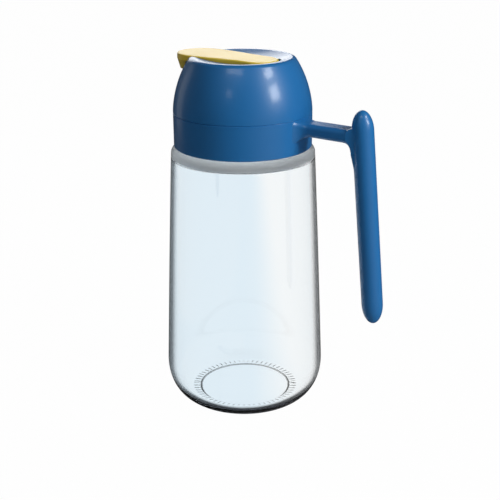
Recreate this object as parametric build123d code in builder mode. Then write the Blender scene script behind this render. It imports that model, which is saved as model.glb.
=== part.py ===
from build123d import *
import math
import os

# Oil bottle with a gravity flap. Millimetres, +Z up, origin on the bottle's axis at the plane it
# stands on. The handle is on the +X side and the pouring lip on the -X side.

# Glass bottle
belly_r = 44.85  # widest outer radius, just above the rounded base corner
belly_z = 22.1
mid_bulge = 0.15  # how far the wall swells out of the straight taper
shoulder_z = 145.0
shoulder_proud = 1.8  # how far the shoulder stands out beyond the collar
shoulder_round = 3.7  # height of the rounded shoulder
shelf_under = 2.2  # how far the flat shelf reaches in under the collar
foot_r = 28.8  # outer radius of the foot ring
foot_w = 2.0
corner_reach = 0.555  # how squarely the base corner runs out from the foot ring
corner_rise = 0.634  # how squarely it comes down from the wall
punt_depth = 1.4
punt_step = 2.6  # width of the step up from the foot ring into the punt
base_thick = 4.0  # height of the inner floor
glass_wall = 3.0
neck_r = 30.6
neck_wall = 3.2
neck_height = 13.6  # from the shelf to the rim
rim_round = 1.2

# Neck seal
seal_thick = 1.2
seal_slack = 0.35  # between the seal's edge and the skirt round it

# Inner cap
skirt_slack = 1.3  # room for the thread between the glass neck and the skirt
skirt_wall = 1.5
skirt_lift = 1.6  # how far the skirt ends above the collar's lower edge
deck_thick = 2.0
flange_drop = 8.5  # from the seam down to the flange that sits on the collar's ledge
flange_thick = 1.5
vent_x = 20.0
vent_r = 1.5
vent_wall = 1.3
vent_height = 6.0

# Collar ring
collar_wall = 2.6
collar_gap = 0.3  # between the glass shelf and the collar
collar_height = 18.5
seam_chamfer = 0.35
ledge_w = 1.6
ledge_thick = 1.6
fit_gap = 0.08  # between parts of the head that push together
collar_rib_count = 12
collar_rib_w = 1.6

# Arm and grip
arm_w = 12.0
arm_h = 7.0
arm_drop_z = 4.8  # from the seam down to the arm's centre, where it leaves the collar
arm_slope = 0.9  # degrees down towards the grip
arm_edge = 2.6
root_flare = 4.2  # how far the arm widens to each side where it meets the collar
root_run = 5.5
root_rise = 1.3
elbow_r = 4.6  # hollow under the arm where it meets the grip
crook_r = 1.4  # hollow above the arm where it meets the grip
grip_r = 5.7
grip_reach = 33.2  # from the collar's side out to the middle of the grip's top
grip_rise = 13.0  # from the arm's centre up to the grip's top
grip_height = 114.4
grip_splay = 10.9  # how much further out the grip's lower end is than its top
grip_top_taper = 10.5  # length of the drawn-out round end
grip_foot_taper = 11.5

# Domed cover
dome_height = 29.2  # from the seam to the rim
dome_inset = 9.6  # how far the rim is drawn in from the collar
dome_swell = 4.0  # height over which the wall stays upright above the seam
dome_lean = 34.7  # degrees that the wall leans in at the rim
dome_reach = 0.5  # share of the height over which that lean is felt
dome_round = 3.0
dome_land = 2.8  # width of the level rim round the dished top
dish_depth = 2.9
dome_wall = 2.4
snap_bead = 0.45

# Flap, seen from above: a broad nose over the lip, tapering to a round tail
nose_inset = 2.4  # from the cover's rim in to the widest place of the nose
nose_l = 13.7
nose_half = 13.6
tail_x = 10.3
tail_half = 10.4
flap_sink = 2.6  # from the cover's rim down to the underside of the leaf
flap_nose_thick = 3.1
flap_tail_thick = 1.7
flap_crown = 0.25
flap_edge = 0.7
hood_drop = 9.0  # how far the beak reaches below its top
hood_tip_back = 0.5
hood_tip_half = 3.2
hood_wall = 1.5
hood_gap = 0.5  # between the beak and the cover's wall
recess_gap = 0.45
recess_drop = 0.3
opening_lead = 6.2  # how far the opening reaches past the bridge towards the lip
tail_swing = 1.2  # extra room behind the tail, which moves back as it dips

# Hinge
pivot_x = 4.0
pivot_drop = 4.9  # from the underside of the leaf down to the pin
pin_r = 1.2
pin_length = 29.0
pin_slack = 0.05
lug_gap = 0.8  # between the lugs and the opening
lug_w = 3.2
lug_l = 13.0
keeper_thick = 1.4
screw_r = 0.8
screw_head_r = 1.5
screw_head_h = 0.9
screw_length = 4.2
screw_pitch = 8.6

# Rocker and weight
rocker_half = 9.4  # half its width along the pin
cheek_w = 1.6
boss_r = 3.0
bridge_l = 11.0
bridge_thick = 1.7
stake_r = 1.3
stake_y = 5.0
weight_r = 6.4
weight_dx = -5.0  # centre of the weight, measured from the pin
weight_dz = -12.6
cradle_wall = 1.2
weight_slack = 0.06
cap_thick = 1.2

# Pouring spout
spout_wall = 1.3
spout_base_inset = 14.1  # from the neck's outside in to the middle of the spout's foot
spout_base_r = 8.5
spout_lead = 2.6  # how far the mouth's middle lies beyond the widest place of the nose
spout_plug = 1.5  # how far the spout reaches down through the deck
spout_mouth_a = 8.0
spout_mouth_b = 7.2
spout_collar_w = 1.2
spout_collar_h = 1.4
window_gap = 0.5
pad_thick = 1.0
pad_gap = 0.3
pad_overlap = 0.5

# Worked out from the sizes above
skirt_in_r = neck_r + skirt_slack
skirt_out_r = skirt_in_r + skirt_wall
collar_in_r = skirt_out_r + ledge_w
collar_r = collar_in_r + collar_wall
spigot_in_r = skirt_out_r + fit_gap
shoulder_r = collar_r + shoulder_proud
shelf_r = collar_r - shelf_under
dome_top_r = collar_r - dome_inset
shelf_z = shoulder_z + shoulder_round
rim_z = shelf_z + neck_height
deck_z = rim_z + seal_thick
deck_top_z = deck_z + deck_thick
collar_z = shelf_z + collar_gap
seam_z = collar_z + collar_height
skirt_bottom_z = collar_z + skirt_lift
flange_z = seam_z - flange_drop
flange_top_z = flange_z + flange_thick
dome_top_z = seam_z + dome_height
dish_z = dome_top_z - dish_depth
flap_floor_z = dome_top_z - flap_sink
flap_nose_z = flap_floor_z + flap_nose_thick
flap_tail_z = flap_floor_z + flap_tail_thick
recess_z = flap_floor_z - recess_drop
dome_ceiling_z = flap_floor_z - dome_wall
pivot_z = flap_floor_z - pivot_drop
mouth_z = flap_floor_z - pad_thick - pad_gap
nose_x = nose_inset - dome_top_r
spout_mouth_x = nose_x - spout_lead
spout_base_x = spout_base_inset - neck_r
arm_z = seam_z - arm_drop_z
grip_top_x = collar_r + grip_reach
grip_top_z = arm_z + grip_rise
lug_y = tail_half + recess_gap + lug_gap
weight_x = pivot_x + weight_dx
weight_z = pivot_z + weight_dz
cradle_r = weight_r + weight_slack + cradle_wall
spout_rise = mouth_z - deck_top_z
spout_run = spout_mouth_x - spout_base_x
spout_levels = [
    (deck_z - spout_plug, spout_base_x, spout_base_r, spout_base_r),
    (deck_top_z + 0.362 * spout_rise, spout_base_x + 0.586 * spout_run, 7.8, 7.9),
    (mouth_z - 0.272 * spout_rise, spout_base_x + 0.676 * spout_run, 7.0, 7.4),
    (mouth_z, spout_mouth_x, spout_mouth_a, spout_mouth_b),
]


def dome_curve(inset, bottom_z, top_z):
    """Side of the cover in section, moved in evenly: upright at the seam, leaning in at the rim."""
    lean = math.radians(dome_lean)
    reach = dome_reach * (top_z - bottom_z)
    foot = (collar_r - inset, bottom_z)
    head_r = dome_top_r + (dome_top_z - top_z) * math.tan(lean) - inset / math.cos(lean)
    head = (head_r, top_z)
    return Bezier(
        foot,
        (foot[0], bottom_z + dome_swell),
        (head[0] + reach * math.sin(lean), top_z - reach * math.cos(lean)),
        head,
    )


def leaf_outline(grow, swing=0.0):
    """Plan of the flap, grown evenly, with its tail moved back by swing."""
    nose = nose_half + grow
    tail = tail_half + grow
    end_x = tail_x + swing
    pull = 0.42 * (end_x - nose_x)
    with BuildLine() as line:
        EllipticalCenterArc((nose_x, 0), nose_l + grow, nose, 90, arc_size=180)
        Bezier((nose_x, -nose), (nose_x + pull, -nose), (end_x - pull, -tail), (end_x, -tail))
        ThreePointArc((end_x, -tail), (end_x + tail, 0), (end_x, tail))
        Bezier((end_x, tail), (end_x - pull, tail), (nose_x + pull, nose), (nose_x, nose))
    return line.line


def spout_sections(grow):
    """Stacked oval sections of the pouring tube, from its plug up to the mouth."""
    sections = []
    for z, x, a, b in spout_levels:
        with BuildSketch(Plane.XY.offset(z)) as section:
            with Locations((x, 0)):
                Ellipse(a + grow, b + grow)
        sections.append(section.sketch)
    return sections


# Glass bottle, one turned profile with an even wall and a heavy base
with BuildPart() as glass_bottle:
    with BuildSketch(Plane.XZ):
        with BuildLine():
            mid_r = (belly_r + shoulder_r) / 2 + mid_bulge
            mid_z = (belly_z + shoulder_z) / 2
            corner_x = foot_r + (belly_r - foot_r) * corner_reach
            corner_z = belly_z * (1 - corner_rise)
            Polyline((0, punt_depth), (0, base_thick), (foot_r, base_thick))
            Bezier(
                (foot_r, base_thick),
                (corner_x - 1.2, base_thick),
                (belly_r - glass_wall, corner_z + 1.4),
                (belly_r - glass_wall, belly_z),
            )
            ThreePointArc(
                (belly_r - glass_wall, belly_z),
                (mid_r - glass_wall, mid_z),
                (shoulder_r - glass_wall, shoulder_z - 4.0),
            )
            Bezier(
                (shoulder_r - glass_wall, shoulder_z - 4.0),
                (shoulder_r - glass_wall - 0.3, shoulder_z + 0.5),
                (neck_r - neck_wall, shoulder_z - 2.0),
                (neck_r - neck_wall, shelf_z + 1.0),
            )
            Polyline(
                (neck_r - neck_wall, shelf_z + 1.0),
                (neck_r - neck_wall, rim_z),
                (neck_r, rim_z),
                (neck_r, shelf_z),
                (shelf_r, shelf_z),
            )
            Bezier(
                (shelf_r, shelf_z),
                (shelf_r + 0.62 * (shoulder_r - shelf_r), shelf_z),
                (shoulder_r + 0.02, shelf_z - 0.38 * shoulder_round),
                (shoulder_r, shoulder_z),
            )
            ThreePointArc((shoulder_r, shoulder_z), (mid_r, mid_z), (belly_r, belly_z))
            Bezier((belly_r, belly_z), (belly_r, corner_z), (corner_x, 0), (foot_r, 0))
            Line((foot_r, 0), (foot_r - foot_w, 0))
            Bezier(
                (foot_r - foot_w, 0),
                (foot_r - foot_w - 0.3 * punt_step, 0.9 * punt_depth),
                (foot_r - foot_w - 0.5 * punt_step, punt_depth),
                (foot_r - foot_w - punt_step, punt_depth),
            )
            Line((foot_r - foot_w - punt_step, punt_depth), (0, punt_depth))
        make_face()
    revolve(axis=Axis.Z)
    rim_edges = glass_bottle.edges().filter_by(GeomType.CIRCLE).group_by(Axis.Z)[-1]
    fillet(rim_edges, rim_round)

# Flat silicone ring squeezed between the glass rim and the inner cap
with BuildPart() as neck_seal:
    with BuildSketch(Plane.XY.offset(rim_z)):
        Circle(skirt_in_r - seal_slack)
        Circle(neck_r - neck_wall, mode=Mode.SUBTRACT)
    extrude(amount=seal_thick)

# Inner cap: skirt round the glass neck, flange on the collar's ledge, deck with socket and vent
with BuildPart() as inner_cap:
    with BuildSketch(Plane.XZ):
        Polygon(
            (0, deck_z),
            (skirt_in_r, deck_z),
            (skirt_in_r, skirt_bottom_z),
            (skirt_out_r, skirt_bottom_z),
            (skirt_out_r, flange_z),
            (collar_in_r - fit_gap, flange_z),
            (collar_in_r - fit_gap, flange_top_z),
            (skirt_out_r, flange_top_z),
            (skirt_out_r, deck_top_z),
            (0, deck_top_z),
            align=None,
        )
    revolve(axis=Axis.Z)
    with BuildSketch(Plane.XY.offset(deck_top_z)):
        with Locations((vent_x, 0)):
            Circle(vent_r + vent_wall)
    extrude(amount=vent_height)
    with BuildSketch(Plane.XY.offset(deck_z)):
        with Locations((vent_x, 0)):
            Circle(vent_r)
    extrude(amount=deck_thick + vent_height, mode=Mode.SUBTRACT)
    with BuildSketch(Plane.XY.offset(deck_z)):
        with Locations((spout_base_x, 0)):
            Circle(spout_base_r + spout_wall)
    extrude(amount=deck_thick + 2.2)
    loft(spout_sections(fit_gap), mode=Mode.SUBTRACT)

# Pouring spout: a curved oval tube, pushed down into the socket, drawn out to a lip at the top
with BuildPart() as pour_spout:
    loft(spout_sections(0))
    with BuildSketch(Plane.XY.offset(deck_top_z + 2.2)):
        with Locations((spout_base_x - 1.2, 0)):
            Circle(spout_base_r + spout_collar_w)
    extrude(amount=spout_collar_h)
    loft(spout_sections(-spout_wall), mode=Mode.SUBTRACT)

# Arm, from its outline seen from the side and its outline seen from above
arm_far_x = grip_top_x + 2.0
arm_drop = math.tan(math.radians(arm_slope))
arm_root_x = collar_r - 1.6
with BuildPart() as arm:
    with BuildSketch(Plane.XZ):
        with BuildLine():
            top_root = arm_z + arm_h / 2
            low_root = arm_z - arm_h / 2
            end_drop = arm_drop * (arm_far_x - collar_r)
            grip_face_x = grip_top_x + 1.2 - grip_r
            face_drop = arm_drop * (grip_face_x - collar_r)
            start_x = collar_r + root_run
            Bezier(
                (arm_root_x, top_root + root_rise),
                (collar_r + 0.3 * root_run, top_root + 0.2 * root_rise),
                (collar_r + 0.6 * root_run, top_root - arm_drop * 0.6 * root_run),
                (start_x, top_root - arm_drop * root_run),
            )
            Line(
                (start_x, top_root - arm_drop * root_run),
                (grip_face_x - crook_r, top_root - face_drop),
            )
            Bezier(
                (grip_face_x - crook_r, top_root - face_drop),
                (grip_face_x, top_root - face_drop),
                (grip_face_x + 0.5, top_root - face_drop + crook_r),
                (arm_far_x, top_root - face_drop + crook_r),
            )
            Polyline(
                (arm_far_x, top_root - face_drop + crook_r),
                (arm_far_x, low_root - face_drop - elbow_r - 1.0),
                (grip_face_x + 1.2, low_root - face_drop - elbow_r - 1.0),
            )
            Bezier(
                (grip_face_x + 1.2, low_root - face_drop - elbow_r - 1.0),
                (grip_face_x + 0.4, low_root - face_drop - 0.9),
                (grip_face_x - 1.0, low_root - face_drop),
                (grip_face_x - elbow_r, low_root - face_drop),
            )
            Line(
                (grip_face_x - elbow_r, low_root - face_drop),
                (start_x, low_root - arm_drop * root_run),
            )
            Bezier(
                (start_x, low_root - arm_drop * root_run),
                (collar_r + 0.6 * root_run, low_root - arm_drop * 0.6 * root_run),
                (collar_r + 0.3 * root_run, low_root - 0.2 * root_flare),
                (arm_root_x, low_root - root_flare),
            )
            Line((arm_root_x, low_root - root_flare), (arm_root_x, top_root + root_rise))
        make_face()
    extrude(amount=arm_w / 2 + root_flare, both=True)
    with BuildSketch(Plane.XY.offset(arm_z)):
        with BuildLine() as arm_side:
            Bezier(
                (arm_root_x, arm_w / 2 + root_flare),
                (collar_r + 0.1 * root_run, arm_w / 2 + 0.2 * root_flare),
                (collar_r + 0.5 * root_run, arm_w / 2),
                (start_x + 2.0, arm_w / 2),
            )
            Polyline(
                (start_x + 2.0, arm_w / 2),
                (grip_face_x - crook_r, arm_w / 2),
                (arm_far_x, 0.7 * grip_r),
                (arm_far_x, 0),
            )
            mirror(arm_side.line, about=Plane.XZ)
            Line((arm_root_x, -arm_w / 2 - root_flare), (arm_root_x, arm_w / 2 + root_flare))
        make_face()
    extrude(amount=2 * arm_h + root_flare + elbow_r, both=True, mode=Mode.INTERSECT)
    long_edges = arm.edges().filter_by(lambda e: e.bounding_box().min.X > arm_root_x - 0.01)
    long_edges = long_edges.filter_by(lambda e: e.bounding_box().max.X < grip_face_x + 0.1)
    long_edges = long_edges.filter_by(lambda e: e.bounding_box().size.X > 1.5)
    fillet(long_edges, arm_edge)

# Grip, turned upright about its own axis from its top down, with drawn-out round ends
grip_lean = math.degrees(math.atan2(grip_splay, grip_height))
grip_length = math.hypot(grip_splay, grip_height)
with BuildPart() as grip:
    with BuildSketch(Plane.XZ):
        with BuildLine():
            Bezier(
                (0, 0),
                (0.56 * grip_r, 0),
                (grip_r, -0.44 * grip_top_taper),
                (grip_r, -grip_top_taper),
            )
            Line((grip_r, -grip_top_taper), (grip_r, grip_foot_taper - grip_length))
            Bezier(
                (grip_r, grip_foot_taper - grip_length),
                (grip_r, 0.44 * grip_foot_taper - grip_length),
                (0.56 * grip_r, -grip_length),
                (0, -grip_length),
            )
            Line((0, -grip_length), (0, 0))
        make_face()
    revolve(axis=Axis.Z)

# Collar ring with the arm and grip in one moulding
with BuildPart() as handle_collar:
    with BuildSketch(Plane.XZ):
        Polygon(
            (collar_in_r, collar_z),
            (collar_r - 0.5, collar_z),
            (collar_r, collar_z + 0.5),
            (collar_r, seam_z - seam_chamfer),
            (collar_r - seam_chamfer, seam_z),
            (collar_in_r + 0.3, seam_z),
            (collar_in_r, seam_z - 0.3),
            (collar_in_r, flange_top_z + 3.4 + snap_bead),
            (collar_in_r + snap_bead, flange_top_z + 3.4),
            (collar_in_r + snap_bead, flange_top_z + 2.4),
            (collar_in_r, flange_top_z + 2.4 - snap_bead),
            (collar_in_r, flange_z),
            (skirt_out_r + fit_gap, flange_z),
            (skirt_out_r + fit_gap, flange_z - ledge_thick),
            (collar_in_r, flange_z - ledge_thick - 1.2),
            align=None,
        )
    revolve(axis=Axis.Z)
    rib_l = collar_in_r - skirt_out_r - fit_gap
    with BuildSketch(Plane.XY.offset(collar_z + 1.2)):
        with PolarLocations(skirt_out_r + fit_gap + rib_l / 2, collar_rib_count):
            Rectangle(rib_l + 0.6, collar_rib_w)
        Circle(skirt_out_r + fit_gap, mode=Mode.SUBTRACT)
    extrude(amount=flange_z - ledge_thick - collar_z - 1.2)
    add(arm.part)
    with Locations(Location((grip_top_x, 0, grip_top_z), (0, -grip_lean, 0))):
        add(grip.part)

# Domed cover with its dished top, push-in spigot, flap recess, spout window and hinge lugs
with BuildPart() as dome_cover:
    with BuildSketch(Plane.XZ):
        with BuildLine():
            dome_curve(0, seam_z + seam_chamfer, dome_top_z)
            Line((dome_top_r, dome_top_z), (dome_top_r - dome_land, dome_top_z))
            ThreePointArc(
                (dome_top_r - dome_land, dome_top_z),
                ((dome_top_r - dome_land) / 2, dish_z + dish_depth / 4),
                (0, dish_z),
            )
            Line((0, dish_z), (0, dome_ceiling_z))
            inner_side = dome_curve(dome_wall, seam_z + 2.5, dome_ceiling_z)
            Line((0, dome_ceiling_z), inner_side @ 1)
            Polyline(
                (collar_r - dome_wall, seam_z + 2.5),
                (spigot_in_r, seam_z - 0.5),
                (spigot_in_r, flange_top_z),
                (collar_in_r - fit_gap, flange_top_z),
                (collar_in_r - fit_gap, flange_top_z + 2.4),
                (collar_in_r + snap_bead - fit_gap, flange_top_z + 2.7),
                (collar_in_r + snap_bead - fit_gap, flange_top_z + 3.1),
                (collar_in_r - fit_gap, flange_top_z + 3.4),
                (collar_in_r - fit_gap, seam_z),
                (collar_r - seam_chamfer, seam_z),
                (collar_r, seam_z + seam_chamfer),
            )
        make_face()
        rim_corner = vertices().sort_by_distance((dome_top_r, dome_top_z))[0]
        fillet(rim_corner, dome_round)
        land_corner = vertices().sort_by_distance((dome_top_r - dome_land, dome_top_z))[0]
        fillet(land_corner, 1.5)
    revolve(axis=Axis.Z)
    with BuildSketch(Plane.XY.offset(recess_z)):
        make_face(leaf_outline(recess_gap, tail_swing))
    extrude(amount=dome_top_z - recess_z + 1.0, mode=Mode.SUBTRACT)
    with BuildSketch(Plane.XY.offset(dome_ceiling_z - 0.5)):
        make_face(leaf_outline(recess_gap, tail_swing))
        with Locations((pivot_x - bridge_l / 2 - opening_lead, 0)):
            Rectangle(60, 60, align=(Align.MAX, Align.CENTER), mode=Mode.SUBTRACT)
    extrude(amount=dome_top_z - dome_ceiling_z, mode=Mode.SUBTRACT)
    lug_top = dome_ceiling_z + 0.4
    with BuildSketch(Plane.XY.offset(pivot_z - pin_r)):
        for side in (-1, 1):
            with Locations((pivot_x, side * (lug_y + lug_w / 2))):
                Rectangle(lug_l, lug_w)
    extrude(amount=lug_top - pivot_z + pin_r)
    with BuildSketch(Plane.XZ):
        with Locations((pivot_x, pivot_z)):
            Circle(pin_r)
            Rectangle(2 * pin_r, 2 * pin_r, align=(Align.CENTER, Align.MAX))
    extrude(amount=lug_y + lug_w + 1.0, both=True, mode=Mode.SUBTRACT)
    with BuildSketch(Plane.XY.offset(pivot_z - pin_r)):
        for side in (-1, 1):
            for end in (-1, 1):
                with Locations((pivot_x + end * screw_pitch / 2, side * (lug_y + lug_w / 2))):
                    Circle(screw_r)
    extrude(amount=screw_length - keeper_thick, mode=Mode.SUBTRACT)
    loft(spout_sections(window_gap), mode=Mode.SUBTRACT)
    with BuildSketch(Plane.XY.offset(mouth_z)):
        with Locations((spout_mouth_x, 0)):
            Ellipse(
                spout_mouth_a + pad_overlap + window_gap, spout_mouth_b + pad_overlap + window_gap
            )
    extrude(amount=dome_top_z - mouth_z, mode=Mode.SUBTRACT)

# Steel pin lying across the cover in the two lugs
with BuildPart() as hinge_pin:
    with BuildSketch(Plane.XZ):
        with Locations((pivot_x, pivot_z)):
            Circle(pin_r)
    extrude(amount=pin_length / 2, both=True)
    fillet(hinge_pin.edges().filter_by(GeomType.CIRCLE), 0.3)


def make_keeper(side):
    """Plate under one lug, which keeps the pin up in its slot."""
    with BuildPart() as keeper:
        with BuildSketch(Plane.XY.offset(pivot_z - pin_r)):
            with Locations((pivot_x, side * (lug_y + lug_w / 2))):
                RectangleRounded(lug_l, lug_w, 0.8)
                with Locations((-screw_pitch / 2, 0), (screw_pitch / 2, 0)):
                    Circle(screw_r, mode=Mode.SUBTRACT)
        extrude(amount=-keeper_thick)
    return keeper


pin_keeper_left = make_keeper(1)
pin_keeper_right = make_keeper(-1)

# Four small screws, two in each keeper
with BuildPart() as keeper_screws:
    head_z = pivot_z - pin_r - keeper_thick
    screw_spots = [
        (pivot_x + end * screw_pitch / 2, side * (lug_y + lug_w / 2))
        for side in (-1, 1)
        for end in (-1, 1)
    ]
    with BuildSketch(Plane.XY.offset(head_z)):
        with Locations(*screw_spots):
            Circle(screw_r)
    extrude(amount=screw_length)
    with BuildSketch(Plane.XY.offset(head_z)):
        with Locations(*screw_spots):
            Circle(screw_head_r)
    extrude(amount=-screw_head_h)

# Beak of the flap: a hood that narrows downwards to a prow, hollow over the pouring lip
hood_z = flap_nose_z - hood_drop
hood_tip_x = nose_x - nose_l + hood_tip_back
with BuildPart() as hood:
    for inset, drop in ((0.0, 0.0), (hood_wall, 1.2)):
        level_top = flap_floor_z + 0.2 - (0.2 if inset else 0.0)
        with BuildSketch(Plane.XY.offset(level_top)):
            make_face(leaf_outline(-inset))
            with Locations((nose_x + 1.0, 0)):
                Rectangle(80, 60, align=(Align.MIN, Align.CENTER), mode=Mode.SUBTRACT)
        with BuildSketch(Plane.XY.offset(hood_z)):
            with BuildLine():
                back_x = nose_x + 1.0
                tip_half = hood_tip_half - 0.6 * inset
                EllipticalCenterArc(
                    (hood_tip_x + 7.0 + inset, 0), 7.0, tip_half + 4.0, 90, arc_size=180
                )
                Polyline(
                    (hood_tip_x + 7.0 + inset, -tip_half - 4.0),
                    (back_x, -tip_half - 6.0),
                    (back_x, tip_half + 6.0),
                    (hood_tip_x + 7.0 + inset, tip_half + 4.0),
                )
            make_face()
        loft(ruled=True, mode=Mode.SUBTRACT if inset else Mode.ADD)
    with BuildSketch(Plane.XZ):
        with BuildLine():
            outer_side = dome_curve(-hood_gap, seam_z, dome_top_z)
            Polyline(outer_side @ 1, (0, dome_top_z), (0, seam_z), outer_side @ 0)
        make_face()
    revolve(axis=Axis.Z, mode=Mode.SUBTRACT)

# Flap: crowned leaf with its hood and two stakes for the rocker
with BuildPart() as flap:
    with BuildSketch(Plane.XY.offset(flap_floor_z)):
        make_face(leaf_outline(0))
    extrude(amount=flap_nose_z - flap_floor_z + 2.0)
    with BuildSketch(Plane.XZ):
        with BuildLine():
            front_x = nose_x - nose_l - 1.0
            rear_x = tail_x + tail_half + 1.0
            mid_top = (flap_nose_z + flap_tail_z) / 2 + flap_crown
            ThreePointArc(
                (front_x, flap_nose_z), ((front_x + rear_x) / 2, mid_top), (rear_x, flap_tail_z)
            )
            Polyline(
                (rear_x, flap_tail_z),
                (rear_x, flap_floor_z),
                (front_x, flap_floor_z),
                (front_x, flap_nose_z),
            )
        make_face()
    extrude(amount=nose_half + 2.0, both=True, mode=Mode.INTERSECT)
    top_edges = flap.faces().sort_by(Axis.Z)[-1].edges()
    fillet(top_edges, flap_edge)
    add(hood.part)
    with BuildSketch(Plane.XY.offset(flap_floor_z)):
        with Locations((pivot_x, stake_y), (pivot_x, -stake_y)):
            Circle(stake_r)
    extrude(amount=-bridge_thick - 0.6)

# Silicone pad under the flap, which closes the mouth of the spout
with BuildPart() as spout_pad:
    with BuildSketch(Plane.XY.offset(flap_floor_z)):
        with Locations((spout_mouth_x, 0)):
            Ellipse(spout_mouth_a + pad_overlap, spout_mouth_b + pad_overlap)
    extrude(amount=-pad_thick)

# Rocker: two cheeks with hinge bosses, a bridge staked to the flap, and the cradle for the weight
with BuildPart() as rocker:
    bridge_z = flap_floor_z - bridge_thick
    with BuildSketch(Plane.XZ.offset(-rocker_half)):
        with BuildLine():
            CenterArc((pivot_x, pivot_z), boss_r, 0, 360)
            CenterArc((weight_x, weight_z), cradle_r, 0, 360)
            Line(
                (pivot_x - bridge_l / 2 + 0.6, flap_floor_z),
                (pivot_x + bridge_l / 2, flap_floor_z),
            )
        make_hull()
    extrude(amount=2 * rocker_half)
    with BuildSketch(Plane.XZ.offset(-rocker_half + cheek_w)):
        with Locations((pivot_x, (flap_floor_z + weight_z) / 2 - bridge_thick)):
            Rectangle(60, flap_floor_z - weight_z)
        with Locations((weight_x, weight_z)):
            Circle(cradle_r, mode=Mode.SUBTRACT)
    extrude(amount=2 * (rocker_half - cheek_w), mode=Mode.SUBTRACT)
    with BuildSketch(Plane.XZ.offset(-rocker_half)):
        with Locations((weight_x, weight_z)):
            Circle(weight_r + weight_slack)
    extrude(amount=2 * rocker_half - cheek_w, mode=Mode.SUBTRACT)
    with BuildSketch(Plane.XZ):
        with Locations((pivot_x, pivot_z)):
            Circle(pin_r + pin_slack)
    extrude(amount=rocker_half + 1.0, both=True, mode=Mode.SUBTRACT)
    with BuildSketch(Plane.XY.offset(bridge_z)):
        with Locations((pivot_x, stake_y), (pivot_x, -stake_y)):
            Circle(stake_r)
    extrude(amount=bridge_thick, mode=Mode.SUBTRACT)

# Steel slug and the cap that closes its cradle
weight_l = 2 * rocker_half - cheek_w - cap_thick
with BuildPart() as counterweight:
    with BuildSketch(Plane.XZ.offset(rocker_half - cheek_w)):
        with Locations((weight_x, weight_z)):
            Circle(weight_r)
    extrude(amount=-weight_l)
    chamfer(counterweight.edges().filter_by(GeomType.CIRCLE), 0.4)

with BuildPart() as weight_cap:
    with BuildSketch(Plane.XZ.offset(-rocker_half)):
        with Locations((weight_x, weight_z)):
            Circle(weight_r + weight_slack)
    extrude(amount=cap_thick)

os.makedirs("parts", exist_ok=True)
glass_bottle.part.label = "glass_bottle"
export_step(glass_bottle.part, "parts/glass_bottle.step")
neck_seal.part.label = "neck_seal"
export_step(neck_seal.part, "parts/neck_seal.step")
inner_cap.part.label = "inner_cap"
export_step(inner_cap.part, "parts/inner_cap.step")
pour_spout.part.label = "pour_spout"
export_step(pour_spout.part, "parts/pour_spout.step")
handle_collar.part.label = "handle_collar"
export_step(handle_collar.part, "parts/handle_collar.step")
dome_cover.part.label = "dome_cover"
export_step(dome_cover.part, "parts/dome_cover.step")
hinge_pin.part.label = "hinge_pin"
export_step(hinge_pin.part, "parts/hinge_pin.step")
pin_keeper_left.part.label = "pin_keeper_left"
export_step(pin_keeper_left.part, "parts/pin_keeper_left.step")
pin_keeper_right.part.label = "pin_keeper_right"
export_step(pin_keeper_right.part, "parts/pin_keeper_right.step")
keeper_screws.part.label = "keeper_screws"
export_step(keeper_screws.part, "parts/keeper_screws.step")
flap.part.label = "flap"
export_step(flap.part, "parts/flap.step")
spout_pad.part.label = "spout_pad"
export_step(spout_pad.part, "parts/spout_pad.step")
rocker.part.label = "rocker"
export_step(rocker.part, "parts/rocker.step")
counterweight.part.label = "counterweight"
export_step(counterweight.part, "parts/counterweight.step")
weight_cap.part.label = "weight_cap"
export_step(weight_cap.part, "parts/weight_cap.step")
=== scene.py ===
import bmesh
import bpy
import math
import numpy as np
from mathutils import Matrix, Vector


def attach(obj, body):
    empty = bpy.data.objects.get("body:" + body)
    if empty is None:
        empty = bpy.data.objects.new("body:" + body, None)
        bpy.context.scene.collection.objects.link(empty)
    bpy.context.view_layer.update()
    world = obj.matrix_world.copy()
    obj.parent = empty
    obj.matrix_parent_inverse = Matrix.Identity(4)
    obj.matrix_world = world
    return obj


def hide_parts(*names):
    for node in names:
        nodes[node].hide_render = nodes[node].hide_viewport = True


# Oil bottle with a weighted flap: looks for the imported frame. Shapes are worked out in millimetres
# in the frame's own axes, with the handle on +X, and go into the meshes in metres. Materials are
# in metres throughout.
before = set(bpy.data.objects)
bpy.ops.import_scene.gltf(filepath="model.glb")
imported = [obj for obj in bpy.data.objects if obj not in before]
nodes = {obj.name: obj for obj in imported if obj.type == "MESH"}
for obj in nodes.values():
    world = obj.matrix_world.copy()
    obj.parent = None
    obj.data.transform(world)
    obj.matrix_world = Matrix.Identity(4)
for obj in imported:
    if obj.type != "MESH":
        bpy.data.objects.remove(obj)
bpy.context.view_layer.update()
mm = 0.001
mergeDistance = 1e-7  # points closer than this, in metres, become one
print("frame loaded:", len(nodes), "nodes")


def bezierPoints(p0, p1, p2, p3, count):
    # cubic curve: (1-t)^3 p0 + 3 (1-t)^2 t p1 + 3 (1-t) t^2 p2 + t^3 p3, for t from 0 to 1
    t = np.linspace(0.0, 1.0, count)[:, None]
    a, b, c, d = (np.array(p, float) for p in (p0, p1, p2, p3))
    return (1 - t) ** 3 * a + 3 * (1 - t) ** 2 * t * b + 3 * (1 - t) * t**2 * c + t**3 * d


def bowPoints(p0, middle, p1, count):
    # shallow bow through three points: the chord plus 4 t (1-t) times the sag at its middle
    t = np.linspace(0.0, 1.0, count)[:, None]
    a, m, b = (np.array(p, float) for p in (p0, middle, p1))
    return a + (b - a) * t + 4 * t * (1 - t) * (m - (a + b) / 2)


def linePoints(p0, p1, count):
    # straight run: p0 (1-t) + p1 t
    t = np.linspace(0.0, 1.0, count)[:, None]
    return np.array(p0, float) * (1 - t) + np.array(p1, float) * t


def joinRuns(*runs):
    # the runs end to end, without the point that each shares with the one before
    return np.concatenate([runs[0]] + [run[1:] for run in runs[1:]])


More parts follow.
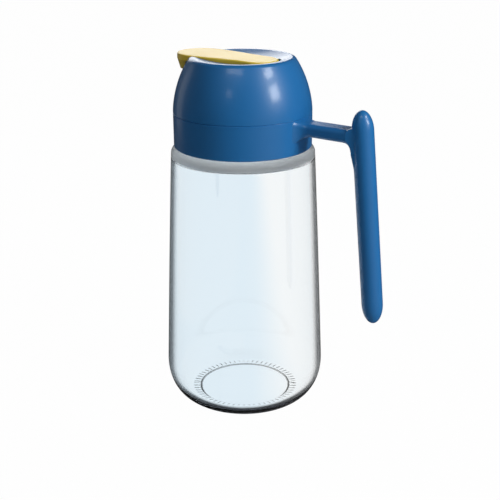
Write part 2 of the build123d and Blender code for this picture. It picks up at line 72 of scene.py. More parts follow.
def gridMesh(name, points, sharp, rowMarks=None):
    # rows x columns x 3 points in mm: a row is a closed ring, each cell between two rows is a quad,
    # and a row that shrinks to one point is a pole; edges that turn by more than sharp degrees stay
    # hard, and rowMarks gives attributes with one value for all the points of a row
    rows, columns = points.shape[:2]
    i, j = np.meshgrid(np.arange(rows - 1), np.arange(columns), indexing="ij")
    here, below, beside = i * columns, (i + 1) * columns, (j + 1) % columns
    quads = np.stack((here + j, below + j, below + beside, here + beside), axis=-1)
    mesh = bpy.data.meshes.new(name)
    mesh.from_pydata((points.reshape(-1, 3) * mm).tolist(), [], quads.reshape(-1, 4).tolist())
    for label, values in (rowMarks or {}).items():
        layer = mesh.attributes.new(label, "FLOAT", "POINT")
        layer.data.foreach_set("value", np.repeat(np.asarray(values, np.float32), columns))
    work = bmesh.new()
    work.from_mesh(mesh)
    bmesh.ops.remove_doubles(work, verts=work.verts, dist=mergeDistance)
    bmesh.ops.recalc_face_normals(work, faces=work.faces)
    work.to_mesh(mesh)
    work.free()
    mesh.shade_smooth()
    mesh.set_sharp_from_angle(angle=math.radians(sharp))
    piece = bpy.data.objects.new(name, mesh)
    bpy.context.scene.collection.objects.link(piece)
    return piece


def turned(profile, columns):
    # profile of (r, z) rows turned about Z: (r cos a, r sin a, z)
    angle = np.linspace(0.0, 2 * math.pi, columns, endpoint=False)
    r, z = profile[:, :1], profile[:, 1:]
    points = np.stack((r * np.cos(angle), r * np.sin(angle), z + 0 * angle), axis=-1)
    return points, angle


def threadRidge(angle, z, thread):
    # height of a ridge of one start at each angle and z, for every time it passes round: its middle
    # is at z0 + lead (a / 2 pi + turn), its section is 1 - (dz / half)^4, and it fades as a square
    # root at both ends
    height = np.zeros(np.broadcast(angle, z).shape)
    passes = int(thread["turns"]) + 2  # the whole turns, the part turn, and what its start adds
    for turn in range(passes):
        travelled = angle / (2 * math.pi) + turn - thread["start"]
        away = (z - thread["z"] - thread["lead"] * (travelled + thread["start"])) / thread["half"]
        fadeIn = np.clip(travelled / thread["fade"], 0, 1)
        fadeOut = np.clip((thread["turns"] - travelled) / thread["fade"], 0, 1)
        ridge = np.clip(1 - away**4, 0, None) * thread["tall"] * np.sqrt(fadeIn * fadeOut)
        height = np.maximum(height, ridge)
    return height


def feed(tree, node, inputs):
    # each input gets a plain value, three numbers for a colour, or another node's output
    for name, value in inputs.items():
        socket = node.inputs[name]
        if isinstance(value, bpy.types.NodeSocket):
            tree.links.new(value, socket)
        elif socket.type == "RGBA":
            socket.default_value = (*value, 1.0)
        else:
            socket.default_value = value


def addNode(tree, kind, inputs=None, **settings):
    # the settings come first, because they decide which inputs the node has
    node = tree.nodes.new(kind)
    for name, value in settings.items():
        setattr(node, name, value)
    feed(tree, node, inputs or {})
    return node


def objectPlace(tree):
    return addNode(tree, "ShaderNodeTexCoord").outputs["Object"]


def calculated(tree, operation, *values):
    # the result of one sum on numbers and other nodes' outputs
    node = addNode(tree, "ShaderNodeMath", dict(enumerate(values)), operation=operation)
    return node.outputs[0]


def ramp(tree, source, start=0.0, end=1.0, low=0.0, high=1.0, kind="SMOOTHSTEP"):
    # low up to the start, high from the end on; the end may also be the smaller of the two
    if end < start:
        start, end, low, high = end, start, high, low
    inputs = {"Value": source, "From Min": start, "From Max": end, "To Min": low, "To Max": high}
    return addNode(tree, "ShaderNodeMapRange", inputs, interpolation_type=kind).outputs["Result"]


def noise(tree, place, scale, detail, twist=0.0):
    inputs = {"Vector": place, "Scale": scale, "Detail": detail, "Distortion": twist}
    return addNode(tree, "ShaderNodeTexNoise", inputs).outputs["Fac"]


def bumped(tree, height, strength, distance):
    inputs = {"Height": height, "Strength": strength, "Distance": distance}
    return addNode(tree, "ShaderNodeBump", inputs).outputs["Normal"]


def mixedColor(tree, factor, first, second):
    # the first colour where the factor is 0, the second where it is 1
    inputs = {"Factor": factor, "A": first, "B": second}
    return addNode(tree, "ShaderNodeMix", inputs, data_type="RGBA").outputs["Result"]


def mixedShader(tree, factor, first, second):
    # the first shader where the factor is 0, the second where it is 1
    return addNode(tree, "ShaderNodeMixShader", {0: factor, 1: first, 2: second}).outputs[0]


def startMaterial(name):
    material = bpy.data.materials.new(name)
    material.use_nodes = True
    return material, material.node_tree, material.node_tree.nodes["Principled BSDF"]


# Skin of all moulded pieces: a slow drift of tone, a fine satin grain, and faint rub marks
skinLook = {
    "driftScale": 22.0,
    "driftDetail": 2.0,
    "grainScale": 2600.0,
    "grainDetail": 3.0,
    "grainDeep": 0.0002,
    "rubScale": 60.0,
    "rubDetail": 6.0,
    "rubTwist": 0.2,
    "rubFrom": 0.42,
    "rubTo": 0.72,
    "scatter": 0.002,  # how deep light goes into the soft ones
}


def makeMouldedGroup(look):
    # colour times 1 + drift (noise - 0.5); roughness plus rub times the rub marks; height is the
    # grain times its noise
    group = bpy.data.node_groups.new("mouldedSkin", "ShaderNodeTree")
    for label in ("Drift", "Roughness", "Rub", "Grain"):
        group.interface.new_socket(label, in_out="INPUT", socket_type="NodeSocketFloat")
    group.interface.new_socket("Color", in_out="INPUT", socket_type="NodeSocketColor")
    group.interface.new_socket("Color", in_out="OUTPUT", socket_type="NodeSocketColor")
    for label in ("Roughness", "Height"):
        group.interface.new_socket(label, in_out="OUTPUT", socket_type="NodeSocketFloat")
    given = group.nodes.new("NodeGroupInput").outputs
    place = objectPlace(group)
    drift = noise(group, place, look["driftScale"], look["driftDetail"])
    grain = noise(group, place, look["grainScale"], look["grainDetail"])
    rub = noise(group, place, look["rubScale"], look["rubDetail"], look["rubTwist"])
    shift = calculated(group, "SUBTRACT", drift, 0.5)
    share = calculated(group, "MULTIPLY_ADD", shift, given["Drift"], 1.0)
    shade = {0: given["Color"], "Scale": share}
    tint = addNode(group, "ShaderNodeVectorMath", shade, operation="SCALE")
    marks = ramp(group, rub, look["rubFrom"], look["rubTo"], kind="LINEAR")
    results = {
        "Color": tint.outputs["Vector"],
        "Roughness": calculated(group, "MULTIPLY_ADD", marks, given["Rub"], given["Roughness"]),
        "Height": calculated(group, "MULTIPLY", grain, given["Grain"]),
    }
    addNode(group, "NodeGroupOutput", results)
    return group


mouldedSkin = makeMouldedGroup(skinLook)


def mouldedMaterial(look):
    # one moulded plastic or rubber: its skin group, and the gloss set on the shader itself
    material, tree, shader = startMaterial(look["name"])
    own = {label: look[label.lower()] for label in ("Color", "Drift", "Roughness", "Rub", "Grain")}
    skin = addNode(tree, "ShaderNodeGroup", node_tree=mouldedSkin)
    feed(tree, skin, own)
    inputs = {
        "Base Color": skin.outputs["Color"],
        "Roughness": skin.outputs["Roughness"],
        "Normal": bumped(tree, skin.outputs["Height"], look["bump"], skinLook["grainDeep"]),
        "IOR": look["ior"],
        "Coat Weight": look["coat"],
        "Coat Roughness": look["coatRoughness"],
        "Subsurface Weight": look["subsurface"],
        "Subsurface Radius": look["radius"],
        "Subsurface Scale": skinLook["scatter"],
    }
    feed(tree, shader, inputs)
    return material


bluePlastic = mouldedMaterial(
    {
        "name": "bluePlastic",
        "color": (0.012, 0.162, 0.440),
        "drift": 0.04,
        "roughness": 0.38,
        "rub": 0.03,
        "grain": 0.5,
        "bump": 0.10,
        "ior": 1.5,
        "coat": 0.35,
        "coatRoughness": 0.15,
        "subsurface": 0.0,
        "radius": (0.3, 0.6, 1.0),
    }
)
yellowPlastic = mouldedMaterial(
    {
        "name": "yellowPlastic",
        "color": (0.95, 0.68, 0.07),
        "drift": 0.03,
        "roughness": 0.36,
        "rub": 0.03,
        "grain": 0.5,
        "bump": 0.10,
        "ior": 1.44,
        "coat": 0.0,
        "coatRoughness": 0.1,
        "subsurface": 0.05,
        "radius": (1.0, 0.7, 0.3),
    }
)
whitePlastic = mouldedMaterial(
    {
        "name": "whitePlastic",
        "color": (0.80, 0.80, 0.78),
        "drift": 0.03,
        "roughness": 0.42,
        "rub": 0.08,
        "grain": 0.8,
        "bump": 0.15,
        "ior": 1.49,
        "coat": 0.0,
        "coatRoughness": 0.1,
        "subsurface": 0.2,
        "radius": (1.0, 0.95, 0.9),
    }
)
clearSilicone = mouldedMaterial(
    {
        "name": "clearSilicone",
        "color": (0.72, 0.73, 0.72),
        "drift": 0.04,
        "roughness": 0.5,
        "rub": 0.1,
        "grain": 1.0,
        "bump": 0.2,
        "ior": 1.41,
        "coat": 0.0,
        "coatRoughness": 0.1,
        "subsurface": 0.5,
        "radius": (1.0, 1.0, 1.0),
    }
)

steelLook = {
    "color": (0.62, 0.62, 0.61),
    "markScale": 300.0,
    "markDetail": 4.0,
    "markStretch": (1.0, 30.0, 1.0),  # closer together along Y, so that they run round the pin
    "smooth": 0.22,  # roughness, from the smoothest marks to the roughest
    "rough": 0.42,
    "bump": 0.15,
    "deep": 0.00005,
}


def steelMaterial(look):
    # ground steel: fine marks round the pin show in the roughness and the bump
    material, tree, shader = startMaterial("groundSteel")
    stretch = {"Vector": objectPlace(tree), "Scale": look["markStretch"]}
    stretched = addNode(tree, "ShaderNodeMapping", stretch).outputs["Vector"]
    marks = noise(tree, stretched, look["markScale"], look["markDetail"])
    inputs = {
        "Base Color": look["color"],
        "Metallic": 1.0,
        "Roughness": ramp(tree, marks, low=look["smooth"], high=look["rough"], kind="LINEAR"),
        "Normal": bumped(tree, marks, look["bump"], look["deep"]),
    }
    feed(tree, shader, inputs)
    return material


groundSteel = steelMaterial(steelLook)

glassLook = {
    "tint": (0.990, 0.997, 1.0),
    "ior": 1.5,
    "absorb": (0.60, 0.66, 0.70),  # colour that a long way through the glass takes on
    "density": 4.0,  # per metre
    "waviness": 0.03,
    "waveScale": 14.0,
    "waveDetail": 1.0,
    "waveDeep": 0.0015,
    "edge": (0.085, 0.09, 0.095),  # painted shade, grey where the wall turns away from the eye
    "foot": (0.004, 0.004, 0.005),  # painted shade, nearly black, round the base corner, where the glass is deepest
    "turnFrom": 0.56,
    "turnTo": 0.74,
    "footTurn": 0.30,  # how much sooner the painted shade comes on round the base corner
    "footFrom": 0.008,  # the painted shade round the base corner fades out between these heights
    "footTo": 0.017,
    "shoulder": (0.1433, 0.1440, 0.1484, 0.1490),  # the satin rises and falls between these heights
    "satin": 0.68,
    "wall": (0.0315, 0.0350),  # the painted shade on the wall starts outside this radius
}


def glassMaterial(look):
    # pressed glass: clear, with a slight waviness and satin at the shoulder, and painted shade: grey
    # where its outside turns away from the eye, and nearly black round the base corner
    material, tree, shader = startMaterial("clearGlass")
    place = objectPlace(tree)
    waves = noise(tree, place, look["waveScale"], look["waveDetail"])
    across, away, height = addNode(tree, "ShaderNodeSeparateXYZ", {"Vector": place}).outputs
    bandFrom, bandIn, bandOut, bandTo = look["shoulder"]
    bandRise = ramp(tree, height, bandFrom, bandIn)
    bandFall = ramp(tree, height, bandTo, bandOut)
    band = calculated(tree, "MULTIPLY", bandRise, bandFall)

    facing = addNode(tree, "ShaderNodeLayerWeight", {"Blend": 0.5}).outputs["Facing"]
    # the painted shade comes on sooner low round the base corner
    low = ramp(tree, height, look["footTo"], look["footFrom"])
    sooner = calculated(tree, "MULTIPLY_ADD", low, look["footTurn"], facing)
    turnedAway = ramp(tree, sooner, look["turnFrom"], look["turnTo"])

    # the painted shade stays on the outer surface, off the punt, and under the satin shoulder
    flat = addNode(tree, "ShaderNodeCombineXYZ", {"X": across, "Y": away}).outputs["Vector"]
    radius = addNode(tree, "ShaderNodeVectorMath", {0: flat}, operation="LENGTH").outputs["Value"]
    offPunt = ramp(tree, radius, *look["wall"])
    underBand = ramp(tree, height, bandIn, bandFrom)
    onWall = calculated(tree, "MULTIPLY", offPunt, underBand)
    outside = addNode(tree, "ShaderNodeAttribute", attribute_name="outside").outputs["Fac"]
    outer = calculated(tree, "MULTIPLY", onWall, outside)
    paintedShadeMask = calculated(tree, "MULTIPLY", turnedAway, outer)
    # colour of the painted shade: grey on the wall, nearly black low round the base corner
    edge = mixedColor(tree, low, look["edge"], look["foot"])
    inputs = {
        "Base Color": mixedColor(tree, paintedShadeMask, look["tint"], edge),
        "Roughness": calculated(tree, "MULTIPLY", band, look["satin"]),
        "Normal": bumped(tree, waves, look["waviness"], look["waveDeep"]),
        "IOR": look["ior"],
        "Transmission Weight": 1.0,
    }
    feed(tree, shader, inputs)
    haze = {"Color": look["absorb"], "Density": look["density"]}
    inside = addNode(tree, "ShaderNodeVolumeAbsorption", haze).outputs["Volume"]
    feed(tree, tree.nodes["Material Output"], {"Volume": inside})
    return material


clearGlass = glassMaterial(glassLook)
print("materials made")

# Glass bottle: radii and heights in mm, as in the CAD
bottleShape = {
    "bellyR": 44.85,
    "bellyZ": 22.1,
    "bulge": 0.15,
    "shoulderR": 39.4,
    "shoulderZ": 145.0,
    "shoulderRound": 3.7,
    "shoulderPull": (0.62, 0.38),  # handles of its curve, as shares of its width and height
    "shoulderOver": 0.02,  # how far outside the wall the lower handle lies
    "shelfR": 35.4,
    "footR": 28.8,
    "footW": 2.0,
    "reach": 0.555,  # how squarely the base corner runs out from the foot ring
    "rise": 0.634,  # how squarely it comes down from the wall
    "insideCorner": (1.2, 1.4),  # the inner corner's handles, in and up from the outer corner's
    "punt": 1.4,
    "step": 2.6,
    "stepPull": ((0.3, 0.9), (0.5, 1.0)),  # its handles, as shares of its width and height
    "floor": 4.0,
    "wall": 3.0,
    "insideTop": 4.0,  # the inner wall bends in this far under the shoulder
    "insideBend": (0.3, 0.5),  # first handle: in from the wall, up over the shoulder
    "boreBend": 2.0,  # second handle: on the bore, this far under the shoulder
    "boreFrom": 1.0,  # the bend ends this far over the shelf
    "neckR": 30.6,
    "neckWall": 3.2,
    "neckRootR": 1.4,  # curve between neck and shelf: its width, its height and its pull
    "neckRootZ": 1.2,
    "neckRootPull": 0.3,
    "rimZ": 162.3,
    "rimRound": 1.2,
    "columns": 384,
    "ticks": 61,
    "tickInner": 27.2,
    "tickOuter": 31.2,
    "tickBelow": 3.0,  # they lie only on what is lower than this
    "tickGap": 0.2,  # cosine at which a tick ends
    "tickDeep": 0.45,
}
bottleThread = {
    "z": 153.4,
    "lead": 5.0,
    "turns": 1.25,
    "start": 0.0,
    "half": 1.1,
    "tall": 1.05,
    "fade": 0.06,  # share of a turn in which it rises from nothing
}
bottleRows = {  # points along each run of the profile
    "floor": 12,
    "insideCorner": 26,
    "insideWall": 20,
    "insideShoulder": 22,
    "bore": 5,
    "rim": 7,
    "neck": 38,
    "neckRoot": 7,
    "shelf": 4,
    "shoulder": 20,
    "wall": 24,
    "corner": 46,
    "foot": 5,
    "step": 12,
    "punt": 10,
}


def bottleInside(s, rows, midR, midZ, cornerX, cornerZ):
    # up the inside: flat floor, rounded corner, bowed wall, shoulder and bore
    wallR, topR = s["bellyR"] - s["wall"], s["shoulderR"] - s["wall"]
    neckR, topZ = s["neckR"] - s["neckWall"], s["shoulderZ"] - s["insideTop"]
    boreZ = s["shoulderZ"] + s["shoulderRound"] + s["boreFrom"]
    cornerIn, cornerUp = s["insideCorner"]
    bendIn, bendUp = s["insideBend"]
    return joinRuns(
        linePoints((0, s["floor"]), (s["footR"], s["floor"]), rows["floor"]),
        bezierPoints(
            (s["footR"], s["floor"]),
            (cornerX - cornerIn, s["floor"]),
            (wallR, cornerZ + cornerUp),
            (wallR, s["bellyZ"]),
            rows["insideCorner"],
        ),
        bowPoints((wallR, s["bellyZ"]), (midR - s["wall"], midZ), (topR, topZ), rows["insideWall"]),
        bezierPoints(
            (topR, topZ),
            (topR - bendIn, s["shoulderZ"] + bendUp),
            (neckR, s["shoulderZ"] - s["boreBend"]),
            (neckR, boreZ),
            rows["insideShoulder"],
        ),
        linePoints((neckR, boreZ), (neckR, s["rimZ"] - s["rimRound"]), rows["bore"]),
    )


def bottleRim(s, rows):
    # two quarter circles, from the bore over the rim to the neck
    bend = np.linspace(0, math.pi / 2, rows["rim"])
    near, far = s["rimRound"] * (1 - np.cos(bend)), s["rimRound"] * (1 - np.sin(bend))
    boreR = s["neckR"] - s["neckWall"]
    rimIn = np.stack((boreR + near, s["rimZ"] - far), axis=-1)
    rimOut = np.stack((s["neckR"] - far, s["rimZ"] - near), axis=-1)
    return rimIn, rimOut


def bottleOutside(s, rows, midR, midZ, cornerX, cornerZ):
    # down the outside: neck root, shelf, shoulder, bowed wall, base corner, foot ring and punt
    shelfZ = s["shoulderZ"] + s["shoulderRound"]
    rootR, ringR = s["neckR"] + s["neckRootR"], s["footR"] - s["footW"]
    pullOut, pullDown = s["shoulderPull"]
    (firstR, firstZ), (secondR, secondZ) = s["stepPull"]
    return joinRuns(
        bezierPoints(
            (s["neckR"], shelfZ + s["neckRootZ"]),
            (s["neckR"], shelfZ + s["neckRootPull"]),
            (s["neckR"] + s["neckRootPull"], shelfZ),
            (rootR, shelfZ),
            rows["neckRoot"],
        ),
        linePoints((rootR, shelfZ), (s["shelfR"], shelfZ), rows["shelf"]),
        bezierPoints(
            (s["shelfR"], shelfZ),
            (s["shelfR"] + pullOut * (s["shoulderR"] - s["shelfR"]), shelfZ),
            (s["shoulderR"] + s["shoulderOver"], shelfZ - pullDown * s["shoulderRound"]),
            (s["shoulderR"], s["shoulderZ"]),
            rows["shoulder"],
        ),
        bowPoints(
            (s["shoulderR"], s["shoulderZ"]), (midR, midZ), (s["bellyR"], s["bellyZ"]), rows["wall"]
        ),
        bezierPoints(
            (s["bellyR"], s["bellyZ"]),
            (s["bellyR"], cornerZ),
            (cornerX, 0),
            (s["footR"], 0),
            rows["corner"],
        ),
        linePoints((s["footR"], 0), (ringR, 0), rows["foot"]),
        bezierPoints(
            (ringR, 0),
            (ringR - firstR * s["step"], firstZ * s["punt"]),
            (ringR - secondR * s["step"], secondZ * s["punt"]),
            (ringR - s["step"], s["punt"]),
            rows["step"],
        ),
        linePoints((ringR - s["step"], s["punt"]), (0, s["punt"]), rows["punt"]),
    )


def makeBottle(s, thread, rows):
    # profile from the middle of the inner floor up the inside, over the rim, down the outside and
    # under the foot, turned about Z. The thread adds its ridge to the radius on the neck. The ticks
    # add to z under the foot: (cos(n a) - gap) / (1 - gap) times the root of a half sine across
    # their band.
    midR = (s["bellyR"] + s["shoulderR"]) / 2 + s["bulge"]
    midZ = (s["bellyZ"] + s["shoulderZ"]) / 2
    cornerX = s["footR"] + (s["bellyR"] - s["footR"]) * s["reach"]
    cornerZ = s["bellyZ"] * (1 - s["rise"])
    inner = bottleInside(s, rows, midR, midZ, cornerX, cornerZ)
    rimIn, rimOut = bottleRim(s, rows)
    neckFoot = s["shoulderZ"] + s["shoulderRound"] + s["neckRootZ"]
    neckTop = s["rimZ"] - s["rimRound"]
    neck = linePoints((s["neckR"], neckTop), (s["neckR"], neckFoot), rows["neck"])
    outer = bottleOutside(s, rows, midR, midZ, cornerX, cornerZ)
    profile = joinRuns(inner, rimIn, rimOut, neck, outer)
    points, angle = turned(profile, s["columns"])
    row = np.arange(len(profile))
    neckStart = len(inner) + 2 * (rows["rim"] - 1)
    neckEnd = neckStart + rows["neck"]
    ridge = threadRidge(angle[None, :], profile[neckStart:neckEnd, 1:], thread)
    out = np.stack((np.cos(angle), np.sin(angle)), axis=-1)
    points[neckStart:neckEnd, :, :2] += ridge[..., None] * out
    under = (row > neckEnd) & (profile[:, 1] < s["tickBelow"])
    span = np.clip((profile[:, 0] - s["tickInner"]) / (s["tickOuter"] - s["tickInner"]), 0, 1)
    band = np.where(under, np.sqrt(np.sin(math.pi * span)), 0.0)
    tick = np.clip(np.cos(angle * s["ticks"]) - s["tickGap"], 0, 1) / (1 - s["tickGap"])
    points[:, :, 2] += s["tickDeep"] * band[:, None] * tick
    return gridMesh("bottleGlass", points, sharp=60.0, rowMarks={"outside": row >= neckStart})


bottleGlass = makeBottle(bottleShape, bottleThread, bottleRows)
bottleGlass.data.materials.append(clearGlass)
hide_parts("glass_bottle")
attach(bottleGlass, "bottle")
print("bottle made")

# Thread inside the inner cap's skirt
skirtThread = {
    "r": 31.9,
    "root": 0.25,  # how far it reaches into the skirt
    "z": 151.3,
    "lead": 5.0,
    "turns": 1.05,
    "start": 0.2,
    "half": 1.0,
    "tall": 1.0,
    "flank": (0.55, 0.75),  # where its flanks bend, as shares of tall and half
    "crest": 0.3,
    "taper": 0.05,  # share of its length in which it rises
    "thinnest": 0.02,
    "along": 420,
}


def makeSkirtThread(s):
    # a bar of six-cornered section swept along a helix; its section swells from next to nothing as
    # the root of the way from the nearer end
    t = np.linspace(0.0, 1.0, s["along"])[:, None]
    turn = s["start"] + t * s["turns"]
    angle = 2 * math.pi * turn
    swell = np.sqrt(np.clip(np.minimum(t, 1 - t) / s["taper"], s["thinnest"] ** 2, 1))
    bendR, bendZ = -s["flank"][0] * s["tall"], s["flank"][1]
    upperHalf = np.array([(s["root"], 1), (bendR, bendZ), (-s["tall"], s["crest"])])
    section = np.concatenate((upperHalf, upperHalf[::-1] * (1, -1)))
    r = s["r"] + s["root"] + (section[:, 0] - s["root"]) * swell
    z = s["z"] + s["lead"] * turn + section[:, 1] * s["half"] * swell
    points = np.stack((r * np.cos(angle), r * np.sin(angle), z), axis=-1)
    return gridMesh("skirtThread", points, sharp=50.0)


capThread = makeSkirtThread(skirtThread)
capThread.data.materials.append(whitePlastic)
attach(capThread, "head")
print("threads made")

# Elbow fairing: draws the corners of the elbow under the arm out into the round grip
elbowFairing = {
    "topX": 70.8,  # the grip's axis at the height topZ
    "topZ": 175.7,
    "lean": 0.0953,  # how far the axis leans out for each mm down
    "gripR": 5.7,
    "high": 154.6,  # heights of the fairing's upper end, the elbow's ledge and the lower end
    "ledge": 153.15,
    "low": 141.0,
    "corner": (67.5, 5.36),  # lower front corner of the elbow
    "side": (72.8, 3.99),  # where the elbow's side meets the grip
    "squareness": 10.5,
    "swell": 0.6,  # how long it stays full under the ledge
    "proud": 0.05,
    "sunk": 0.12,
    "sinkFrom": 0.9,  # the lower end sinks in from this share of its height on
    "rows": 26,
    "columns": 96,
}


def makeElbowFairing(s):
    # at each height the larger of the grip's circle and the elbow's outline, both seen from the
    # grip's axis. The outline is (front^-p + side^-p)^(-1/p), which is the nearer of the elbow's
    # front and side with their corner rounded. The radius is the circle plus
    # (outline - circle) (1 - t)^2 (1 + swell t), with t from 0 at the ledge to 1 at the lower end.
    # Both ends sink in to lie just inside what they leave and what they meet.
    z = np.linspace(s["high"], s["low"], s["rows"])[:, None]
    angle = np.linspace(-math.pi, math.pi, s["columns"], endpoint=False)[None, :]
    axisX = s["topX"] + s["lean"] * (s["topZ"] - s["ledge"])
    frontX, frontY = s["corner"][0] - axisX, s["corner"][1]
    sideX, sideY = s["side"][0] - axisX, s["side"][1]
    toFront, toSide = -np.cos(angle), np.abs(np.sin(angle))
    least, power = 0.05, s["squareness"]  # least keeps the two divisions away from nought
    front = -frontX / np.maximum(toFront, least)
    slope = (sideY - frontY) / (sideX - frontX)
    side = (frontY - slope * frontX) / np.maximum(toSide + slope * toFront, least)
    rounded = (front**-power + side**-power) ** (-1 / power)
    outline = np.where(toFront > 2 * least, np.maximum(rounded, s["gripR"]), s["gripR"])
    t = np.clip((s["ledge"] - z) / (s["ledge"] - s["low"]), 0, 1)
    full = (1 - t) ** 2 * (1 + s["swell"] * t)
    upper = np.clip((z - s["ledge"]) / (s["high"] - s["ledge"]), 0, 1)
    lower = np.clip((t - s["sinkFrom"]) / (1 - s["sinkFrom"]), 0, 1)
    r = s["gripR"] + (outline - s["gripR"] + s["proud"]) * full - s["sunk"] * (upper + lower)
    x = s["topX"] + s["lean"] * (s["topZ"] - z) + r * np.cos(angle)
    rings = np.stack((x, r * np.sin(angle), z + 0 * angle), axis=-1)
    ends = rings[[0, -1]].mean(axis=1, keepdims=True) + np.zeros((2, s["columns"], 1))
    points = np.concatenate((ends[:1], rings, ends[1:]))
    return gridMesh("elbowFairing", points, sharp=60.0)


elbowBlend = makeElbowFairing(elbowFairing)
elbowBlend.data.materials.append(bluePlastic)
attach(elbowBlend, "head")
print("elbow fairing made")

finishes = {
    "neck_seal": clearSilicone,
    "inner_cap": whitePlastic,
    "pour_spout": whitePlastic,
    "handle_collar": bluePlastic,
    "dome_cover": bluePlastic,
    "hinge_pin": groundSteel,
    "pin_keeper_left": whitePlastic,
    "pin_keeper_right": whitePlastic,
    "keeper_screws": groundSteel,
    "flap": yellowPlastic,
    "spout_pad": clearSilicone,
    "rocker": whitePlastic,
    "counterweight": groundSteel,
    "weight_cap": whitePlastic,
}
for nodeName, material in finishes.items():
    for place in nodes[nodeName].material_slots:
        place.material = material
print("finishes set")

photoView = {
    "turn": math.radians(32.0),  # how far the handle is turned towards the camera
    "across": 3.474,  # the camera's place in mm, in the axes of fromView
    "back": 532.08,
    "height": 285.45,
    "pitch": 0.35659,  # radians
    "roll": 0.00615,
    "lens": 72.0,
    "sensor": 36.0,
    "clip": (0.01, 50.0),
}


def fromView(x, y, z):
    # a place beside the photograph's line of sight (x right, y away) in the frame's own axes
    c, s = math.cos(photoView["turn"]), math.sin(photoView["turn"])
    return Vector((x * c - y * s, x * s + y * c, z)) * mm


def makeCamera(v):
    data = bpy.data.cameras.new("photoCamera")
    data.lens, data.sensor_width = v["lens"], v["sensor"]
    data.clip_start, data.clip_end = v["clip"]
    camera = bpy.data.objects.new("photoCamera", data)
    ahead = fromView(0, math.cos(v["pitch"]), -math.sin(v["pitch"])).normalized()
    right = fromView(1, 0, 0).normalized()
    up = right.cross(ahead)
    tilt = Matrix.Rotation(-v["roll"], 3, -ahead)
    turn = Matrix((tilt @ right, tilt @ up, -ahead)).transposed().to_4x4()
    place = fromView(v["across"], -v["back"], v["height"])
    camera.matrix_world = Matrix.Translation(place) @ turn
    bpy.context.scene.collection.objects.link(camera)
    bpy.context.scene.camera = camera


makeCamera(photoView)

# Each lamp lies the given way from the cover (right, away from the camera, up in the photograph)
headMiddle = (2, 0, 185)
lamps = [
    {"name": "keyBox", "way": (0.79, -0.50, 0.345), "far": 700, "size": (200, 170), "glow": 17.5},
    {"name": "keyTop", "way": (0.67, -0.38, 0.66), "far": 700, "size": (200, 120), "glow": 20.0},
    {"name": "nearSpot", "way": (-0.36, -0.87, 0.37), "far": 200, "size": (28, 26), "glow": 2.8},
    {"name": "topBar", "way": (-0.21, -0.60, 0.77), "far": 600, "size": (260, 80), "glow": 5.0},
    {"name": "backBox", "way": (-0.165, 0.94, 0.27), "far": 720, "size": (420, 300), "glow": 3.1},
    {"name": "leftStrip", "way": (-0.83, 0.56, 0.0), "far": 700, "size": (250, 500), "glow": 0.5},
    {"name": "gripFill", "way": (0.62, -0.70, -0.20), "far": 330, "size": (300, 300), "glow": 0.7},
]
hiddenFromGloss = {"gripFill"}  # it lights the side of the grip and makes no highlight


def makeLamp(lamp):
    # power in W of a flat lamp of even glow: glow times pi times its area
    light = bpy.data.lights.new(lamp["name"], "AREA")
    light.shape = "RECTANGLE"
    light.size, light.size_y = lamp["size"][0] * mm, lamp["size"][1] * mm
    light.energy = lamp["glow"] * math.pi * light.size * light.size_y
    holder = bpy.data.objects.new(lamp["name"], light)
    middle = fromView(*headMiddle)
    holder.location = middle + fromView(*lamp["way"]).normalized() * lamp["far"] * mm
    holder.rotation_euler = (middle - holder.location).to_track_quat("-Z", "Y").to_euler()
    holder.visible_camera = False
    holder.visible_transmission = False
    holder.visible_glossy = lamp["name"] not in hiddenFromGloss
    bpy.context.scene.collection.objects.link(holder)


for lamp in lamps:
    makeLamp(lamp)

roomLook = {
    "air": (0.92, 0.96, 1.0),
    "soft": 0.12,  # room light on the surfaces
    "gloss": 0.07,  # what reflections see of the room
    "glassShadeLeft": (0.80, 0.905, 0.975),  # painted shade seen through the glass: pale blue on the left, going over to white on the right
    "glassRight": (0.99, 1.0, 1.0),
    "glassFrom": 0.004,  # the two blend between these: metres to the right on the floor, and
    "glassTo": 0.036,  # in the room the share of the direction that points to the right
    "white": (1.0, 1.0, 1.0),
}


def whiteAndGlassShade(tree, place):
    # white for the eye; through glass a painted shade of pale blue on the left that goes over to
    # white on the right.
    # It gives back whether a reflection looks, whether the eye or glass looks, and the colour.
    rays = addNode(tree, "ShaderNodeLightPath").outputs
    toRight = {0: place, 1: fromView(1000, 0, 0)}
    across = addNode(tree, "ShaderNodeVectorMath", toRight, operation="DOT_PRODUCT")
    blend = ramp(tree, across.outputs["Value"], roomLook["glassFrom"], roomLook["glassTo"])
    # painted shade for what glass sees: pale blue on the left, white on the right
    through = mixedColor(tree, blend, roomLook["glassShadeLeft"], roomLook["glassRight"])
    shown = mixedColor(tree, rays["Is Camera Ray"], through, roomLook["white"])
    seen = calculated(tree, "MAXIMUM", rays["Is Camera Ray"], rays["Is Transmission Ray"])
    return rays["Is Glossy Ray"], seen, shown


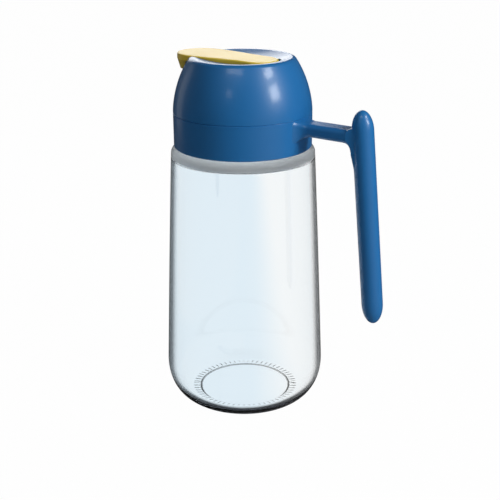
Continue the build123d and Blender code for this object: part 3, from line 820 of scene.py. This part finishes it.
def makeWorld(look):
    # dim room light on the surfaces; whatever looks straight at it sees white, and glass sees the
    # painted shade
    world = bpy.data.worlds.new("paleRoom")
    world.use_nodes = True
    bpy.context.scene.world = world
    tree = world.node_tree
    tree.nodes.clear()
    place = addNode(tree, "ShaderNodeTexCoord").outputs["Generated"]
    glossy, seen, shown = whiteAndGlassShade(tree, place)
    level = ramp(tree, glossy, low=look["soft"], high=look["gloss"], kind="LINEAR")
    soft = addNode(tree, "ShaderNodeBackground", {"Color": look["air"], "Strength": level})
    white = addNode(tree, "ShaderNodeBackground", {"Color": shown})
    chosen = mixedShader(tree, seen, soft.outputs[0], white.outputs[0])
    addNode(tree, "ShaderNodeOutputWorld", {"Surface": chosen})


makeWorld(roomLook)

floorLook = {
    "nearR": 300,
    "farR": 3000,
    "nearRows": 4,
    "farRows": 8,
    "columns": 64,
    "color": (0.50, 0.50, 0.50),
    "roughness": 0.6,
    "white": 0.988,  # share of the floor's white that is its own
    "gloss": 0.25,  # share of the floor that reflections see
}


def makeFloor(look):
    # pale round floor; what is seen of it directly is mostly white of its own, and through glass
    # mostly the painted shade, pale blue on the left; the small rest takes the lamps' light and the
    # object's shadow
    near = linePoints((0, 0), (look["nearR"], 0), look["nearRows"])
    rest = linePoints((look["nearR"], 0), (look["farR"], 0), look["farRows"])
    floor = gridMesh("floor", turned(joinRuns(near, rest), look["columns"])[0], sharp=40.0)
    material, tree, shader = startMaterial("paleFloor")
    feed(tree, shader, {"Base Color": look["color"], "Roughness": look["roughness"]})
    glossy, seen, shown = whiteAndGlassShade(tree, objectPlace(tree))
    white = addNode(tree, "ShaderNodeEmission", {"Color": shown})
    unlit = addNode(tree, "ShaderNodeEmission", {"Strength": 0.0})
    dim = ramp(tree, glossy, high=1.0 - look["gloss"], kind="LINEAR")
    lit = mixedShader(tree, dim, shader.outputs[0], unlit.outputs[0])
    part = calculated(tree, "MULTIPLY", seen, look["white"])
    chosen = mixedShader(tree, part, lit, white.outputs[0])
    feed(tree, tree.nodes["Material Output"], {"Surface": chosen})
    floor.data.materials.append(material)


makeFloor(floorLook)
bpy.context.scene.view_settings.view_transform = "Standard"
print("stage set")
